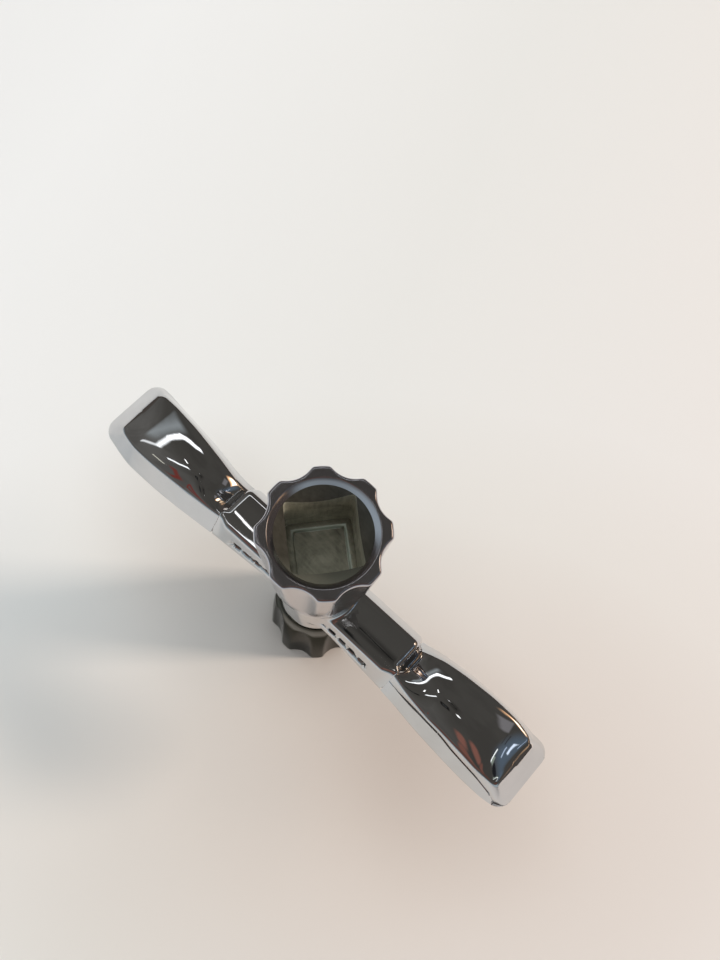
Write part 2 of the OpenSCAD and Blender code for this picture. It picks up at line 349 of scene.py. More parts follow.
for name in ("cross_rod", "core_shaft"):
    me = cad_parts[name].data
    me.materials.clear()
    me.materials.append(M_STEEL)
    me.polygons.foreach_set("material_index", np.zeros(len(me.polygons), np.int32))

# ---------------------------------------------------------------- nozzles
RIM_R, BASE_R, NECK_R = 5.9, 4.95, 4.4
FLUTES, CUT_R, VALLEY_RIM, VALLEY_BASE, FLUTE_Z = 8, 2.6, 5.25, 4.72, 8.7
FLUTE_TURN = math.radians(1.0)
SQ, DEPTH, MOUTH_R, CHAMFER = 3.15, 8.5, 4.30, 0.52
RIM_ROUND = 0.30
PLUG_T, RECESS, RECESS_D = 1.6, 2.5, 0.6
BOSS_H, CORE_R = 4.6, 2.4
NU = 256


def square_radius(th, half, p=18.0):
    """Radius of a square with slightly eased corners, in direction th."""
    c, s = np.abs(np.cos(th - SQUARE_TURN)), np.abs(np.sin(th - SQUARE_TURN))
    return half / (c**p + s**p) ** (1 / p)


def outer_radius(th, z):
    zk = [BOSS_H, 5.2, 6.2, 7.0, 7.7, 8.3, 8.9, HALF - 0.25, HALF]
    rk = [NECK_R, 4.34, 4.33, 4.42, 4.62, 4.84, 4.965, RIM_R, RIM_R + 0.01]
    rc = pchip(zk, rk, np.full(1, z))[0]
    f = (z - FLUTE_Z) / (HALF - FLUTE_Z)
    valley = VALLEY_BASE + (VALLEY_RIM - VALLEY_BASE) * f
    d = valley + CUT_R
    step = 2 * math.pi / FLUTES
    phi = (th - FLUTE_TURN - step / 2 + step / 2) % step - step / 2
    inside = CUT_R**2 - (d * np.sin(phi)) ** 2
    rf = np.where(inside > 0, d * np.cos(phi) - np.sqrt(np.maximum(inside, 0)), 99.0)
    # the flutes run out softly over the shoulder
    fade = np.clip((z - 7.5) / 1.3, 0, 1)
    fade = fade * fade * (3 - 2 * fade)
    r = smin(np.full_like(th, rc), rf, 0.24)
    return rc + (r - rc) * fade


def nozzle_grid():
    th = np.linspace(0, 2 * math.pi, NU, endpoint=False)
    loops, mat = [], []

    def add(r, z, m):
        r = np.broadcast_to(r, th.shape)
        z = np.broadcast_to(z, th.shape)
        loops.append(np.stack([r * np.cos(th), r * np.sin(th), z], 1))
        mat.append(m)

    for z in np.concatenate([np.linspace(BOSS_H, 7.2, 14), np.linspace(7.4, 9.2, 20),
                             np.linspace(9.6, HALF - RIM_ROUND - 0.03, 34)]):
        add(outer_radius(th, z), z, 0)
    top = outer_radius(th, HALF - RIM_ROUND)
    for a in np.linspace(0, math.pi / 2, 12)[1:]:
        add(top - RIM_ROUND * (1 - math.cos(a)), HALF - RIM_ROUND * (1 - math.sin(a)), 0)
    inner = MOUTH_R + CHAMFER
    for t in (0.3, 0.6, 0.85):
        add((top - RIM_ROUND) * (1 - t) + (inner + 0.06) * t, HALF, 0)
    for a in np.linspace(0, math.pi / 4, 4):
        add(inner + 0.06 - 0.14 * math.sin(a), HALF - 0.14 * (1 - math.cos(a)), 0)
    for t in (0.5, 1.0):
        add(inner - 0.04 - (CHAMFER - 0.04) * t, HALF - 0.04 - (CHAMFER - 0.04) * t, 0)
    rs = square_radius(th, SQ)
    depth_edge = CHAMFER + np.maximum(MOUTH_R - rs, 0.02)
    for t in np.linspace(0, 1, 9)[1:]:
        d = CHAMFER + (depth_edge - CHAMFER) * t
        add(np.minimum(MOUTH_R - (d - CHAMFER), MOUTH_R) if t < 1 else rs, HALF - d, 2)
    plug_z = HALF - DEPTH - PLUG_T
    for t in np.linspace(0, 1, 16)[1:]:
        add(rs, (HALF - depth_edge) * (1 - t) + plug_z * t, 1)
    add(CORE_R, plug_z, 1)
    add(CORE_R, BOSS_H, 1)
    return np.array(loops), np.array(mat)


def build_nozzle(name, node, flip):
    pts, mat = nozzle_grid()
    nv, nu = pts.shape[:2]
    p = pts.reshape(-1, 3).copy()
    if flip:
        p[:, 2] *= -1
    p[:, 2] += MID
    faces = grid_faces(nv, nu, True, True)
    fm = mat[(faces[:, 3] // nu)]
    fm = np.where(faces[:, 3] // nu == 0, 1, fm)
    ob = new_object(name, p, faces.tolist(), [M_NOZZLE_SHADED if flip else M_NOZZLE, M_BORE_LIT, M_CONE], fm, sharp=38)
    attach(ob, "root")
    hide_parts(node)
    return ob


build_nozzle("upper_nozzle", "upper_socket", False)
build_nozzle("lower_nozzle", "lower_socket", True)


def build_plug(name, node, flip):
    """Bottom of the square hole: an eased ledge round a square recess."""
    th = np.linspace(0, 2 * math.pi, NU, endpoint=False)
    z0, z1 = HALF - DEPTH - PLUG_T, HALF - DEPTH
    rs = square_radius(th, SQ)
    ri = square_radius(th, RECESS, 12.0)
    rows = [(rs * 0, z0), (rs * 0.5, z0), (rs, z0), (rs, (z0 + z1) / 2), (rs, z1 - 0.02), (rs - 0.03, z1),
            (ri + 0.12, z1), (ri + 0.04, z1 - 0.03), (ri - 0.02, z1 - 0.12),
            (ri - 0.05, z1 - RECESS_D + 0.10), (ri - 0.09, z1 - RECESS_D + 0.02), (ri - 0.18, z1 - RECESS_D)]
    for t in (0.8, 0.6, 0.4, 0.2, 0.0):
        rows.append(((ri - 0.18) * t, z1 - RECESS_D - 0.06 * (1 - t * t)))
    p = np.array([np.stack([r * np.cos(th), r * np.sin(th), np.full_like(th, z)], 1) for r, z in rows])
    nv = len(rows)
    p = p.reshape(-1, 3)
    if flip:
        p[:, 2] *= -1
    p[:, 2] += MID
    ob = new_object(name, p, grid_faces(nv, NU, True, False).tolist(), [M_PLUG], sharp=50)
    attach(ob, "root")
    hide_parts(node)


build_plug("upper_plug", "upper_floor_plug", False)
build_plug("lower_plug", "lower_floor_plug", True)

# ---------------------------------------------------------------- middle block
BLOCK_X, BLOCK_H, BLOCK_W, BLOCK_TOP = 12.75, 2.75, 3.35, 2.15
BLOCK_TURN = math.radians(1.1)
DASHES, DASH_D, DASH_X, DASH_STEP, DASH_Z, DASH_H = 5, 0.24, 3.3, 1.48, 1.02, 0.32
OUT_Z = -0.15                                # height of the block's front edge


def front_edge(x):
    """Distance of the block's front edge from its middle plane."""
    return 3.46 + 0.52 * np.clip(np.abs(x) - 5.0, 0, None) / 7.75


def front_top(x):
    """Distance of the top's front edge from the middle plane; it narrows to the wings."""
    t = np.clip((BLOCK_X - np.abs(x)) / 1.6, 0, 1)
    return BLOCK_TOP + 0.48 * t * t * (3 - 2 * t)


def front_slope(x, z):
    """Distance of the block's front slope from its middle plane, above the edge."""
    n = front_edge(x)
    return n - (n - front_top(x)) * (z - OUT_Z) / (BLOCK_H - OUT_Z)


def block_field(p):
    """Signed distance, roughly, to the block and its boss, in mm from the mid-plane."""
    x, y, z = p[:, 0], p[:, 1], p[:, 2]
    c, s = math.cos(BLOCK_TURN), math.sin(BLOCK_TURN)
    xr, yr = c * x + s * y, -s * x + c * y
    az = np.abs(z)
    crown = 0.12 * (1 - (yr / BLOCK_TOP) ** 2)
    top = (az - BLOCK_H - np.maximum(crown, -0.3)) * 0.98
    n = math.hypot(BLOCK_H, BLOCK_W - BLOCK_TOP)
    ny, nz = BLOCK_H / n, (BLOCK_W - BLOCK_TOP) / n
    belly = 0.10 * np.clip(1 - ((az - BLOCK_H / 2) / (BLOCK_H / 2)) ** 2, 0, 1)
    far = yr * ny + az * nz - (BLOCK_W + belly) * ny
    edge, lip = front_edge(x), front_top(x)
    rise, fall = BLOCK_H - OUT_Z, BLOCK_H + OUT_Z
    n1, n2 = np.hypot(rise, edge - lip), np.hypot(fall, edge - BLOCK_TOP)
    upper = ((-yr - edge) * rise + (z - OUT_Z) * (edge - lip)) / n1
    lower = ((-yr - edge) * fall + (OUT_Z - z) * (edge - BLOCK_TOP)) / n2
    # beyond the block's end it lies just under the wing's skin
    near = smax(upper, lower, 0.22) + 0.06 * np.clip((np.abs(x) - BLOCK_X + 0.02) / 0.12, 0, 1)
    side = smax(far, near, 0.3)
    body = smax(top, side, np.where(yr > 0, 0.50, 0.30))
    # the front edge runs on into the wings
    m = np.clip((-yr - 1.2) / 1.0, 0, 1)
    body = smax(body, np.abs(x) - BLOCK_X - 1.0 * m, 0.85 - 0.65 * m)
    # row of plain dashes, cut into the front side
    cut = np.full(len(p), 9.0)
    for sg in (-1, 1):
        for k in range(DASHES):
            dx = np.abs(xr - sg * (DASH_X + DASH_STEP * k)) - 0.47
            dz = np.abs(z - DASH_Z) - DASH_H
            dy = yr + front_slope(x, DASH_Z) - DASH_D
            cut = np.minimum(cut, smax(smax(dx, dz, 0.12), dy, 0.03))
    body = smax(body, -cut, 0.05)
    boss = smax(np.hypot(x, y) - NECK_R, az - BOSS_H, 0.02)
    return smin(body, boss, 0.75)


def voxel_start():
    """A rough closed skin of the block and boss, in mm, to be pulled onto the field."""
    bm = bmesh.new()
    outline = [(3.0, -1.2), (3.0, 1.2), (2.1, 2.65), (-2.1, 2.65), (-2.90, 1.05), (-2.90, 0.02),
               (-3.38, -0.08), (-3.38, -0.35), (-2.1, -2.65), (2.1, -2.65)]
    a, b = ([bm.verts.new((sg * (BLOCK_X - 0.1), y, z)) for y, z in outline] for sg in (-1, 1))
    bm.faces.new(a)
    bm.faces.new(b)
    for k in range(len(outline)):
        j = (k + 1) % len(outline)
        bm.faces.new((a[k], a[j], b[j], b[k]))
    bmesh.ops.recalc_face_normals(bm, faces=bm.faces)
    bmesh.ops.create_cone(bm, cap_ends=True, segments=96, radius1=NECK_R, radius2=NECK_R,
                          depth=2 * BOSS_H)
    me = bpy.data.meshes.new("start")
    bm.to_mesh(me)
    bm.free()
    ob = bpy.data.objects.new("start", me)
    bpy.context.scene.collection.objects.link(ob)
    mod = ob.modifiers.new("skin", "REMESH")
    mod.mode = "VOXEL"
    mod.voxel_size = 0.125
    mod.adaptivity = 0.0
    dg = bpy.context.evaluated_depsgraph_get()
    ev = ob.evaluated_get(dg).to_mesh()
    co = np.zeros(len(ev.vertices) * 3, np.float32)
    ev.vertices.foreach_get("co", co)
    faces = [tuple(q.vertices) for q in ev.polygons]
    ob.evaluated_get(dg).to_mesh_clear()
    bpy.data.objects.remove(ob)
    bpy.data.meshes.remove(me)
    return co.reshape(-1, 3).astype(float), faces


def pull(p, field, rounds=8):
    """Moves points onto the field's zero surface along its slope."""
    e = 0.01
    for _ in range(rounds):
        f = field(p)
        g = np.stack([field(p + d) - field(p - d)
                      for d in (np.array([e, 0, 0]), np.array([0, e, 0]), np.array([0, 0, e]))], 1) / (2 * e)
        step = f[:, None] * g / np.maximum((g * g).sum(1), 0.05)[:, None]
        size = np.linalg.norm(step, axis=1, keepdims=True)
        p = p - step * np.minimum(1.0, 0.25 / np.maximum(size, 1e-9))
    return p


start, start_faces = voxel_start()
on = pull(start, block_field)
# even out the spacing a little, then pull back onto the surface
nb = np.zeros_like(on)
cnt = np.zeros(len(on))
quads = np.array([q for q in start_faces if len(q) == 4])
for a, b in ((0, 1), (1, 2), (2, 3), (3, 0)):
    np.add.at(nb, quads[:, a], on[quads[:, b]])
    np.add.at(nb, quads[:, b], on[quads[:, a]])
    np.add.at(cnt, quads[:, a], 1)
    np.add.at(cnt, quads[:, b], 1)
on = np.where(cnt[:, None] > 0, 0.5 * on + 0.5 * nb / np.maximum(cnt, 1)[:, None], on)
on = pull(on, block_field, 6)
quads_all = [q for q in start_faces]
centre = np.array([on[list(q)].mean(0) for q in quads_all])
c_, s_ = math.cos(BLOCK_TURN), math.sin(BLOCK_TURN)
cxr, cyr = c_ * centre[:, 0] + s_ * centre[:, 1], -s_ * centre[:, 0] + c_ * centre[:, 1]
in_dash = np.zeros(len(centre), bool)
for sg in (-1, 1):
    for k in range(DASHES):
        deep = cyr + front_slope(centre[:, 0], centre[:, 2])
        in_dash |= ((np.abs(cxr - sg * (DASH_X + DASH_STEP * k)) < 0.53)
                    & (np.abs(centre[:, 2] - DASH_Z) < DASH_H + 0.01) & (deep < 0.7) & (deep > 0.07))
on[:, 2] += MID
block = new_object("middle_block", on, quads_all, [M_BAR, M_DASH], in_dash.astype(int), sharp=55)
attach(block, "root")
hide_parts("hub_block")

# ---------------------------------------------------------------- wings
WX = 30.3
KX = np.array([12.75, 13.45, 14.45, 15.95, 17.95, 19.95, 22.45, 24.95, 27.0, 27.7])
KA = [3.00, 3.05, 3.20, 3.40, 3.68, 3.90, 4.06, 4.15, 4.15, 4.13]      # back edge
KW = [1.95, 2.05, 2.20, 2.50, 2.80, 3.02, 3.24, 3.30, 3.12, 2.95]      # top face, back side
KH = [1.10, 1.60, 2.05, 2.40, 2.65, 2.78, 2.84, 2.80, 2.64, 2.52]      # height
KC = [0.15, 0.25, 0.40, 0.52, 0.60, 0.60, 0.56, 0.44, 0.20, 0.08]      # crown
KO = [0.20, 0.30, 0.42, 0.50, 0.50, 0.46, 0.40, 0.30, 0.12, 0.03]      # offset of those
KN = [3.96, 4.03, 4.13, 4.30, 4.52, 4.67, 4.80, 4.86, 4.70, 4.60]      # front edge
KNO = [0.25, 0.26, 0.28, 0.28, 0.28, 0.29, 0.28, 0.26, 0.14, 0.08]
KV = [2.20, 2.34, 2.54, 2.74, 2.96, 3.10, 3.26, 3.35, 3.14, 3.00]      # top face, front side
KVO = [0.30, 0.28, 0.24, 0.22, 0.22, 0.28, 0.31, 0.25, 0.12, 0.03]
KS = [0.62, 0.64, 0.66, 0.70, 0.79, 0.79, 0.70, 0.68, 0.54, 0.46]      # seam on the front slope


def stations(side):
    """Rows of x, back edge, back top, front edge, front top, height, crown, middle, seam."""
    rows = []
    for x in np.concatenate([np.linspace(BLOCK_X, 27.7, 116), np.linspace(27.7, WX, 30)[1:]]):
        ka, kw, kh, kc, ko, kn, kno, kv, kvo, ks = (
            float(pchip(KX, k, np.array([min(x, 27.7)]))[0])
            for k in (KA, KW, KH, KC, KO, KN, KNO, KV, KVO, KS))
        h = kh
        if x > 27.7:
            q = (x - 27.7) / (WX - 27.7)
            ko, kno, kvo = ko * (1 - q), kno * (1 - q), kvo * (1 - q)
            h = 2.52 * (1 - q) + 0.16 * math.sin(math.pi * q)
            kn -= 0.17 * (x - 27.7)
            ks *= max(0.0, 1 - ((x - 27.7) / 1.3) ** 1.5)
            r = 1.55
            if x > WX - r:
                round_off = r - math.sqrt(max(r * r - (x - WX + r) ** 2, 0))
                ka, kn = 4.12 - round_off, kn - round_off * 0.92
            kc = 0.05 * (1 - q)
        rows.append((x, side * ko + ka, side * ko + kw, kn - side * kno, kv - side * kvo, h, kc,
                     side * ko, ks))
    return rows


def upper_height(x, y, row, full):
    """Height of the wing's upper face over the plan, edges and corners eased."""
    _, far, _, near, _, _, _, mid, _ = row
    _, far0, top_far0, near0, top_near0, kh, kc, mid0, _ = full
    u = np.where(y > mid, (y - mid) / (top_far0 - mid0), (mid - y) / (top_near0 + mid0))
    top = kh + kc * (1 - np.minimum(u**2, 2.0))
    # at the notch the front side stays up, in line with the block
    w = np.clip((u - 0.15) / 0.80, 0, 1) * (y < mid)
    high = max(kh, 2.62)
    top = top + (high - kh) * w * w * (3 - 2 * w)
    gap_far, gap_near = np.maximum(far - y, 0), np.maximum(y + near, 0)
    run = far0 - top_far0
    far_z = gap_far * kh / run * (1.0 + 0.14 * np.sin(math.pi * np.clip(gap_far / run, 0, 1)))
    near_z = gap_near * high / (near0 - top_near0)
    side_z = np.minimum(far_z, near_z)
    e = WX - x
    end_z = e * 1.02 + 0.05 * np.sin(math.pi * min(e / 2.6, 1)) - 0.10 * (y / 4.1) ** 2 * min(e, 1)
    body = smin(side_z, end_z, 0.15 + 0.75 * min(e, 1.0)) if x > 24 else side_z
    z = smin(body, top, np.where(y > mid, 0.36, 0.20))
    z = np.where(np.minimum(gap_far, gap_near) <= 1e-9, 0.0, np.maximum(z, 0.0))
    return z if e > 1e-6 else z * 0


N_SIDE, N_TOP, N_STRIP, N_BAND, N_LOW = 26, 48, 12, 16, 26


def wing_surface(side):
    rows = stations(side)
    full = [r for r in rows if r[0] <= 27.7][-1]
    up, low, x_all = [], [], []
    t = np.linspace(0, 1, N_SIDE, endpoint=False)
    for row in rows:
        x, far, top_far, near, top_near, h, c, mid, ks = row
        ref = row
        if x > 27.7:
            q = x - 27.7
            ref = (x, 4.13, 2.90 - 0.05 * q, full[3], full[4] - 0.05 * q, 2.52 - 0.20 * q, 0.05, mid, ks)
        top_far, top_near = min(top_far, far - 0.05), min(top_near, near - 0.05)
        # upper face: back slope, top, strip down to the seam, band down to the front edge
        seam = near - (near - top_near) * ks
        y = np.concatenate([far + (top_far - far) * t, np.linspace(top_far, -top_near, N_TOP),
                            -np.linspace(top_near, seam, N_STRIP + 1)[1:],
                            -np.linspace(seam, near, N_BAND + 1)[1:]])
        up.append(np.stack([np.full(len(y), x), y, upper_height(x, y, row, ref)], 1))
        # lower face: back slope, bottom, front slope
        if x > 27.7:
            top_far = min(top_far, far - (4.13 - 2.95) * h / 2.52)
            top_near = min(top_near, near - (full[3] - full[4]) * h / 2.52)
        belly = np.sin(math.pi * t) * min(1, h / 2)
        a = np.stack([far + (top_far - far) * t + 0.13 * belly, -h * t], 1)
        u = np.linspace(1, -1, N_TOP)
        y2 = np.where(u > 0, mid + (top_far - mid) * u, mid + (top_near + mid) * u)
        b = np.stack([y2, -h - c * (1 - u * u)], 1)
        t2 = np.linspace(1, 0, N_LOW + 1)[1:]
        belly2 = np.sin(math.pi * t2**0.8) * min(1, h / 2)
        d = np.stack([-(near + (top_near - near) * t2 + 0.20 * belly2), -h * t2], 1)
        l = np.concatenate([a, b, d])
        low.append(np.concatenate([np.full((len(l), 1), x), l], 1))
        x_all.append(x)
    up, low, x_all = np.array(up), np.array(low), np.array(x_all)
    cut = N_SIDE + N_TOP + N_STRIP
    out = []
    for g, amount in ((up[:, :cut], 0.6), (up[:, cut - 1:], 0.6), (low, 1.2)):
        ends = g[:, 0].copy(), g[:, -1].copy(), g[0].copy(), g[-1].copy()
        g = blur(blur(g, 0, amount), 1, amount)
        g[:, 0], g[:, -1], g[0], g[-1] = ends
        out.append(g)
    upper, band, low = out
    # the fine step of the seam: everything above it stands back a little
    step = np.interp(x_all, [BLOCK_X, 14.5, 16.5, 19.0, 23.0, 27.0, 28.3], [0.03, 0.08, 0.19, 0.17, 0.10, 0.09, 0.12])
    step = step + 0.24 * np.exp(-((x_all - (WX - 1.05)) / 0.55) ** 2)
    step = step * (1.0 if side > 0 else 0.0) * np.clip((WX - x_all) / 0.5, 0, 1)
    seam = band[:, 0].copy()
    for k in range(8):
        upper[:, -1 - k, 1] += step * (1 - k / 8) ** 2
    upper[:, -1, 2] += 0.012 * (side > 0)
    return upper, band, low, upper[:, -1].copy(), seam


def build_wing(name, node, side):
    upper, band, low, edge, ledge = wing_surface(side)
    m = upper.shape[0]
    parts, faces, base = [], [], 0
    for g in (upper, np.stack([edge, ledge], 1), band, low):
        parts.append(g.reshape(-1, 3))
        faces.append(grid_faces(m, g.shape[1], False, False) + base)
        base += m * g.shape[1]
    # inner end face, closed against the block
    rim = np.concatenate([upper[0], band[0], low[0][::-1]])
    parts.append(rim)
    parts.append(np.array([[BLOCK_X, side * KO[0], 0.0]]))
    k = len(rim)
    fan = [(base + i, base + (i + 1) % k, base + k) for i in range(k)]
    p = np.concatenate(parts)
    p[:, 0] *= side
    p[:, 2] += MID
    all_faces = np.concatenate(faces).tolist() + [tuple(f) for f in fan]
    ob = new_object(name, p, all_faces, [M_BAR], sharp=42)
    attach(ob, "root")
    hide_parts(node)
    return ob


build_wing("wing_right", "right_wing", 1)
build_wing("wing_left", "left_wing", -1)

# ---------------------------------------------------------------- floor
bm = bmesh.new()
bmesh.ops.create_circle(bm, cap_ends=True, segments=96, radius=3.0)
me = bpy.data.meshes.new("floor")
bm.to_mesh(me)
bm.free()
floor = bpy.data.objects.new("floor", me)
bpy.context.scene.collection.objects.link(floor)
n = Nodes("pale_table")
v = n.coords()
cloud = n.noise(v, 14.0, 3.0, 0.5, 0.2)
grain = n.noise(v, 900.0, 3.0, 0.6, 0.0)
sep = n.add("ShaderNodeSeparateXYZ")
n.link(v, sep.inputs[0])
# painted light: a slow drift from brighter cool white to dimmer warm white across the table, as the light falls across
# it
light_drift = n.math("ADD", n.math("MULTIPLY", sep.outputs[0], 0.7305 + 0.45 * 0.6829),
               n.math("MULTIPLY", sep.outputs[1], 0.6829 - 0.45 * 0.7305))
light_drift = n.math("ADD", light_drift, n.math("MULTIPLY", n.math("SUBTRACT", cloud, 0.5), 0.010))
light_tone = n.ramp(n.span(light_drift, -0.075, 0.070), [(0.0, (0.900, 0.880, 0.872)), (0.45, (0.800, 0.775, 0.752)),
                                             (1.0, (0.790, 0.730, 0.704))])
# painted shadow: a brownish, darker patch in front of the key, where things in front shade the table
shadow_r = n.math("ADD", n.math("MULTIPLY", sep.outputs[0], 0.7305 / 0.046), n.math("MULTIPLY", sep.outputs[1], 0.6829 / 0.046))
shadow_u = n.math("ADD", n.math("MULTIPLY", sep.outputs[0], -0.6829 / 0.030), n.math("MULTIPLY", sep.outputs[1], 0.7305 / 0.030))
shadow_r = n.math("SUBTRACT", shadow_r, 0.15)
shadow_u = n.math("ADD", shadow_u, 0.75)
far = n.math("ADD", n.math("MULTIPLY", shadow_r, shadow_r), n.math("MULTIPLY", shadow_u, shadow_u))
far = n.math("ADD", far, n.math("MULTIPLY", n.math("SUBTRACT", cloud, 0.5), 0.5))
shade = n.ramp(n.span(far, 0.0, 3.4), [(0.0, (0.860, 0.785, 0.735)), (0.14, (0.895, 0.845, 0.810)),
                                       (0.45, (0.960, 0.945, 0.925)), (1.0, (1.0, 1.0, 1.0))])
n.link(n.product(light_tone, shade), n.p.inputs["Base Color"])
n.p.inputs["Roughness"].default_value = 0.45
n.p.inputs["Specular IOR Level"].default_value = 0.20
n.link(n.bump(grain, 0.05, 0.00005), n.p.inputs["Normal"])
me.materials.append(n.mat)


# ---------------------------------------------------------------- lights
def area(name, at, size, size_y, power, colour, look=(0, 0, 0.03), glossy=True):
    d = bpy.data.lights.new(name, "AREA")
    d.shape = "RECTANGLE"
    d.size, d.size_y = size, size_y
    d.energy = power
    d.color = colour
    o = bpy.data.objects.new(name, d)
    bpy.context.scene.collection.objects.link(o)
    o.location = at
    o.rotation_mode = "QUATERNION"
    o.rotation_quaternion = (Vector(look) - Vector(at)).to_track_quat("-Z", "Y")
    o.visible_glossy = glossy
    return o


rx, ry = 0.7305, 0.6829                      # towards the right of the picture, on the floor
ux, uy = -0.6829, 0.7305                     # towards the top of the picture
area("key", (0.80 * rx, 0.80 * ry, 0.39), 0.13, 0.13, 5.3, (1.0, 0.87, 0.75), glossy=False)
area("fill_top", (0.25 * ux, 0.25 * uy, 1.5), 1.5, 1.5, 18.0, (0.88, 0.99, 1.04), glossy=False)

# ---------------------------------------------------------------- surroundings
# A dim room seen in the plating: dark ceiling, lamp strips, a window, a pale low band.
world = bpy.data.worlds.new("room")
bpy.context.scene.world = world
world.use_nodes = True
t = world.node_tree
t.nodes.clear()


def wadd(kind, **values):
    node = t.nodes.new(kind)
    for k, val in values.items():
        setattr(node, k, val)
    return node


def wmath(op, a, b=0.0, c=None):
    node = wadd("ShaderNodeMath", operation=op)
    for k, val in enumerate((a, b) if c is None else (a, b, c)):
        if isinstance(val, (int, float)):
            node.inputs[k].default_value = val
        else:
            t.links.new(val, node.inputs[k])
    return node.outputs[0]


def wspan(val, lo, hi, a=0.0, b=1.0):
    node = wadd("ShaderNodeMapRange", interpolation_type="SMOOTHSTEP")
    for name, number in (("From Min", lo), ("From Max", hi), ("To Min", a), ("To Max", b)):
        node.inputs[name].default_value = number
    t.links.new(val, node.inputs["Value"])
    return node.outputs["Result"]


def wmix(fac, a, b):
    node = wadd("ShaderNodeMix", data_type="RGBA")
    for k, val in ((0, fac), (6, a), (7, b)):
        if isinstance(val, tuple):
            node.inputs[k].default_value = (*val, 1)
        elif isinstance(val, (int, float)):
            node.inputs[k].default_value = val
        else:
            t.links.new(val, node.inputs[k])
    return node.outputs[2]


out = wadd("ShaderNodeOutputWorld")
bg = wadd("ShaderNodeBackground")
t.links.new(bg.outputs[0], out.inputs[0])
tc = wadd("ShaderNodeTexCoord")
sep = wadd("ShaderNodeSeparateXYZ")
t.links.new(tc.outputs["Generated"], sep.inputs[0])
X, Y, Z = sep.outputs
ROOM_R = wmath("ADD", wmath("MULTIPLY", X, rx), wmath("MULTIPLY", Y, ry))
ROOM_U = wmath("ADD", wmath("MULTIPLY", X, ux), wmath("MULTIPLY", Y, uy))
up_z = wmath("MAXIMUM", Z, 0.03)
wob = wadd("ShaderNodeTexNoise")
wob.inputs["Scale"].default_value = 11.0
wob.inputs["Detail"].default_value = 3.0
t.links.new(tc.outputs["Generated"], wob.inputs["Vector"])
wsep = wadd("ShaderNodeSeparateColor")
t.links.new(wob.outputs["Color"], wsep.inputs[0])
# place on a ceiling one unit up, nothing in it quite straight
CR = wmath("ADD", wmath("DIVIDE", ROOM_R, up_z), wmath("MULTIPLY", wmath("SUBTRACT", wsep.outputs[0], 0.5), 0.022))
CU = wmath("ADD", wmath("DIVIDE", ROOM_U, up_z), wmath("MULTIPLY", wmath("SUBTRACT", wsep.outputs[1], 0.5), 0.022))

wn = wadd("ShaderNodeTexNoise")
wn.inputs["Scale"].default_value = 2.6
wn.inputs["Detail"].default_value = 3.0
t.links.new(tc.outputs["Generated"], wn.inputs["Vector"])
mottle = wn.outputs["Fac"]

# ceiling: olive grey overhead, a little lighter to the left
col = wmix(wspan(ROOM_R, -0.12, -0.50), (0.080, 0.076, 0.069), (0.150, 0.146, 0.138))
col = wmix(wspan(mottle, 0.42, 0.60, 0.0, 0.35), col, (0.050, 0.046, 0.042))
# low band: bluish towards the front and left, brown on the right
low_col = wmix(wspan(wmath("ADD", wmath("MULTIPLY", ROOM_U, -0.8), wmath("MULTIPLY", ROOM_R, -0.6)), -0.10, 0.50),
               (0.085, 0.072, 0.064), (0.42, 0.50, 0.545))
col = wmix(wspan(Z, 0.46, 0.20), col, low_col)


def strip(col, a, b, width, soft, colour, amount=1.0, round_ends=False):
    """Adds a straight lamp or shadow from a to b on the ceiling."""
    ax, ay = a
    bx, by = b
    ln = math.hypot(bx - ax, by - ay)
    tx, ty = (bx - ax) / ln, (by - ay) / ln
    mx, my = (ax + bx) / 2, (ay + by) / 2
    du, dv = wmath("SUBTRACT", CR, mx), wmath("SUBTRACT", CU, my)
    along = wmath("ABSOLUTE", wmath("ADD", wmath("MULTIPLY", du, tx), wmath("MULTIPLY", dv, ty)))
    across = wmath("ABSOLUTE", wmath("ADD", wmath("MULTIPLY", du, -ty), wmath("MULTIPLY", dv, tx)))
    if round_ends:
        past = wmath("MAXIMUM", wmath("SUBTRACT", along, ln / 2), 0.0)
        far = wmath("SQRT", wmath("ADD", wmath("MULTIPLY", past, past), wmath("MULTIPLY", across, across)))
        m = wspan(far, width / 2 + soft, width / 2 - soft)
    else:
        m = wmath("MULTIPLY", wspan(along, ln / 2 + soft, ln / 2 - soft), wspan(across, width / 2 + soft, width / 2 - soft))
    m = wmath("MULTIPLY", m, wspan(Z, 0.03, 0.06))
    m = wmath("MULTIPLY", m, amount)
    return wmix(m, col, colour)


# reddish brown things in front, a warm glow from the low window on the right
col = wmix(wmath("MULTIPLY", wmath("MULTIPLY", wspan(ROOM_U, -0.42, -0.62), wspan(Z, 0.42, 0.52)),
                 wspan(mottle, 0.44, 0.54)), col, (0.15, 0.062, 0.046))
col = wmix(wmath("MULTIPLY", wmath("MULTIPLY", wspan(ROOM_R, 0.72, 0.90), wspan(Z, 0.46, 0.38)),
                 wmath("MULTIPLY", wspan(wsep.outputs[2], 0.44, 0.54), wspan(Z, 0.25, 0.31))), col, (0.95, 0.60, 0.36))
# someone leaning over: a dark place straight overhead
col = strip(col, (-0.01, 0.06), (0.04, -0.01), 0.100, 0.035, (0.036, 0.034, 0.031), 0.9)
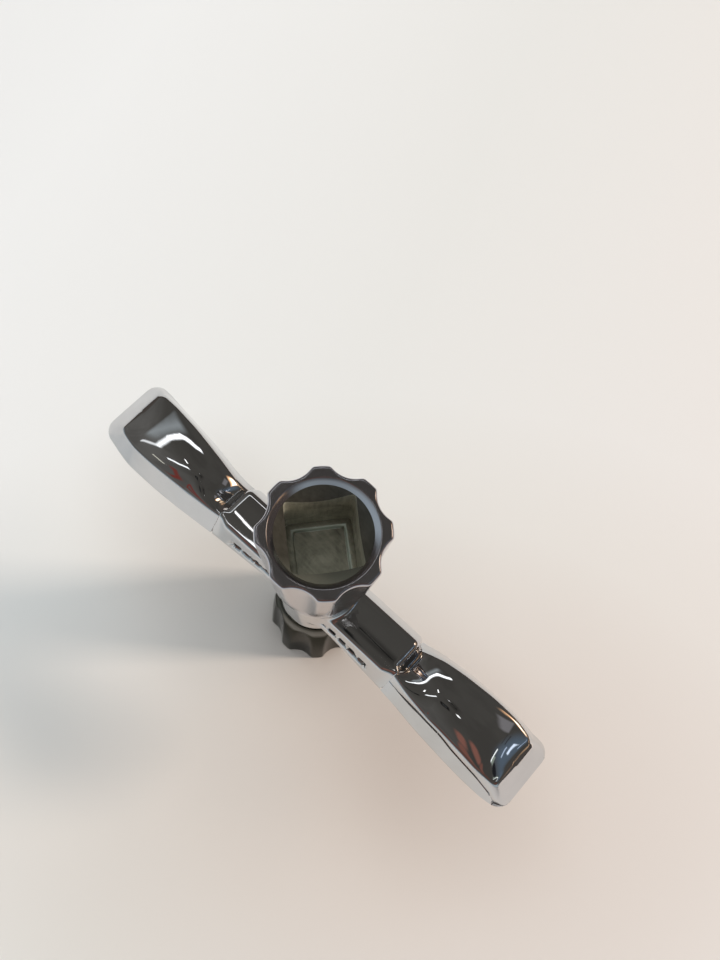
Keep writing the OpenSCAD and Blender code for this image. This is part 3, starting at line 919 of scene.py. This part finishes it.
# lamps, with their glow on the ceiling
col = strip(col, (-0.52, 0.40), (0.12, 0.86), 0.13, 0.09, (0.42, 0.46, 0.48), 0.85)
col = strip(col, (-0.60, 0.245), (-0.445, 0.236), 0.040, 0.022, (1.3, 1.33, 1.36), 1.0, True)
col = strip(col, (-0.43, 0.245), (-0.22, 0.460), 0.062, 0.024, (1.9, 1.95, 2.0), 1.0, True)
col = strip(col, (-0.22, 0.460), (0.02, 0.622), 0.068, 0.020, (2.2, 2.25, 2.3), 1.0, True)
col = strip(col, (0.02, 0.622), (0.29, 0.668), 0.072, 0.018, (2.3, 2.35, 2.4), 1.0, True)
col = strip(col, (-0.415, 0.038), (-0.176, 0.068), 0.026, 0.007, (1.9, 1.95, 2.0))
col = strip(col, (-0.590, 0.020), (-0.530, -0.112), 0.018, 0.007, (0.95, 0.93, 0.80))
col = strip(col, (-0.142, 0.222), (-0.136, 0.160), 0.016, 0.005, (2.4, 2.4, 2.4))
col = strip(col, (-0.018, -0.082), (0.008, -0.076), 0.024, 0.008, (2.5, 2.5, 2.5))
# dark things: a hanging cable, a round fitting
col = strip(col, (0.004, 0.050), (0.024, 0.022), 0.030, 0.006, (0.075, 0.072, 0.066))
col = strip(col, (0.000, 0.062), (0.032, 0.004), 0.012, 0.003, (0.006, 0.006, 0.006))
col = strip(col, (-0.010, 0.078), (-0.004, 0.070), 0.008, 0.003, (1.8, 1.8, 1.8))
col = strip(col, (-0.150, -0.030), (-0.085, -0.055), 0.052, 0.010, (0.012, 0.012, 0.012))
col = strip(col, (-0.133, -0.037), (-0.106, -0.048), 0.022, 0.005, (0.075, 0.078, 0.080))
col = strip(col, (-0.128, -0.039), (-0.112, -0.046), 0.010, 0.003, (0.012, 0.012, 0.012))
# warm window to the right, blinds below it
col = strip(col, (0.60, 0.05), (0.72, 0.30), 0.13, 0.03, (0.26, 0.25, 0.26), 0.9)
col = strip(col, (0.98, 0.52), (1.12, 0.04), 0.40, 0.05, (2.0, 1.15, 0.62))
col = strip(col, (1.00, 0.48), (1.12, 0.09), 0.26, 0.04, (4.0, 3.5, 2.9))
col = strip(col, (1.55, 0.10), (1.75, 0.85), 0.30, 0.12, (1.2, 0.85, 0.55))
col = strip(col, (0.45, -0.44), (1.25, -0.06), 0.36, 0.14, (0.125, 0.170, 0.225), 0.9)
for x0, y0, x1, y1, w, c in ((0.305, -0.415, 0.440, -0.265, 0.024, (2.0, 2.1, 2.1)),
                             (0.330, -0.435, 0.400, -0.370, 0.050, (0.36, 0.42, 0.36)),
                             (0.560, -0.400, 0.660, -0.270, 0.022, (0.75, 0.90, 1.15)),
                             (0.690, -0.380, 0.800, -0.230, 0.036, (1.3, 1.5, 1.8)),
                             (0.840, -0.330, 0.960, -0.180, 0.030, (0.70, 0.85, 1.1)),
                             (0.520, -0.180, 0.640, -0.020, 0.016, (0.05, 0.05, 0.055)),
                             (0.600, -0.220, 0.720, -0.060, 0.020, (0.04, 0.04, 0.045)),
                             (0.365, -0.455, 0.445, -0.560, 0.080, (0.014, 0.014, 0.018))):
    col = strip(col, (x0, y0), (x1, y1), w, 0.012, c, 0.92)
# a hand in front
for x0, y0, x1, y1, w in ((-0.45, -0.10, -0.51, -0.31, 0.060), (-0.50, -0.30, -0.66, -0.34, 0.070)):
    col = strip(col, (x0, y0), (x1, y1), w, 0.020, (0.22, 0.045, 0.036), 0.9)
for x0, y0, x1, y1, w, k in ((-0.26, -0.60, -0.14, -0.72, 0.20, 0.70), (0.05, -0.45, 0.05, -0.53, 0.085, 0.80),
                             (-0.20, -0.46, -0.23, -0.53, 0.110, 0.85), (0.00, -0.335, -0.01, -0.38, 0.085, 1.05),
                             (-0.145, -0.325, -0.16, -0.36, 0.095, 1.0)):
    col = strip(col, (x0, y0), (x1, y1), w, 0.022, (0.30 * k, 0.130 * k, 0.100 * k), 0.9, True)
t.links.new(col, bg.inputs["Color"])
bg.inputs["Strength"].default_value = 1.0
